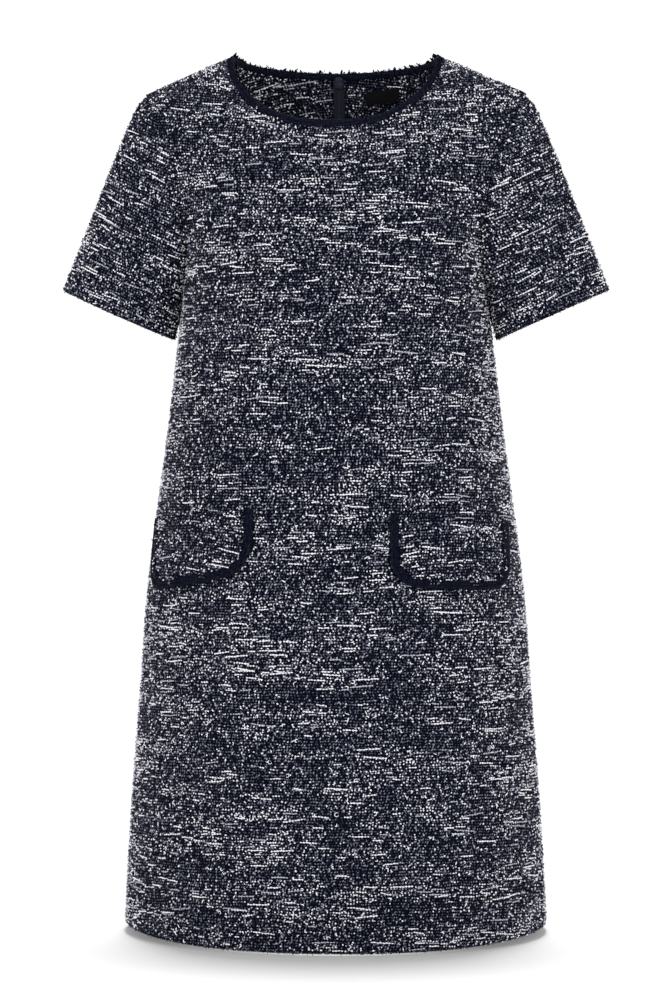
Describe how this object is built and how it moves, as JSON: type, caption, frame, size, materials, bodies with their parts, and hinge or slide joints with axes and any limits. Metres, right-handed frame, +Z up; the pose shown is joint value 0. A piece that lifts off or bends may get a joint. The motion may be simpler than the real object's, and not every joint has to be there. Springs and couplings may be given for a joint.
{
  "type": "sheath dress",
  "caption": "Short-sleeved boucle tweed sheath dress, round neck, bound pocket flaps and a concealed back zip, filled out as worn.",
  "frame": {"origin": "midway between the two neck points and level with them, where the wearer's shoulders hold the dress", "axes": "+Z up the wearer, -Y out of the front, +X to the wearer's left"},
  "size_m": [0.5326, 0.297, 0.857],
  "materials": {
    "boucle_tweed": "navy and ivory boucle weave, matt and nubby",
    "navy_binding": "plain matt navy, softly fuzzed",
    "zip_tape_navy": "fine twill tape",
    "zip_coil_navy": "moulded coil, half gloss",
    "enamelled_metal": "navy enamel, half gloss",
    "black_satin": "black satin ribbon"
  },
  "bodies": {
    "dress": {"back_left": "boucle_tweed", "back_right": "boucle_tweed", "flap_binding_left": "navy_binding", "flap_binding_right": "navy_binding", "flap_left": "boucle_tweed", "flap_right": "boucle_tweed", "front": "boucle_tweed", "label": "black_satin", "neck_binding": "navy_binding", "sleeve_left": "boucle_tweed", "sleeve_right": "boucle_tweed", "zip_coil": "zip_coil_navy", "zip_slider": "enamelled_metal", "zip_tape_left": "zip_tape_navy", "zip_tape_right": "zip_tape_navy"},
    "zip_pull": {"zip_pull": "enamelled_metal"}
  },
  "joints": [
    {"name": "pull_hinge", "type": "hinge", "parent": "dress", "child": "zip_pull", "pos_m": [0, 0.06846, -0.01987], "axis": [1, 0, 0], "range_deg": [0, 140]}
  ]
}
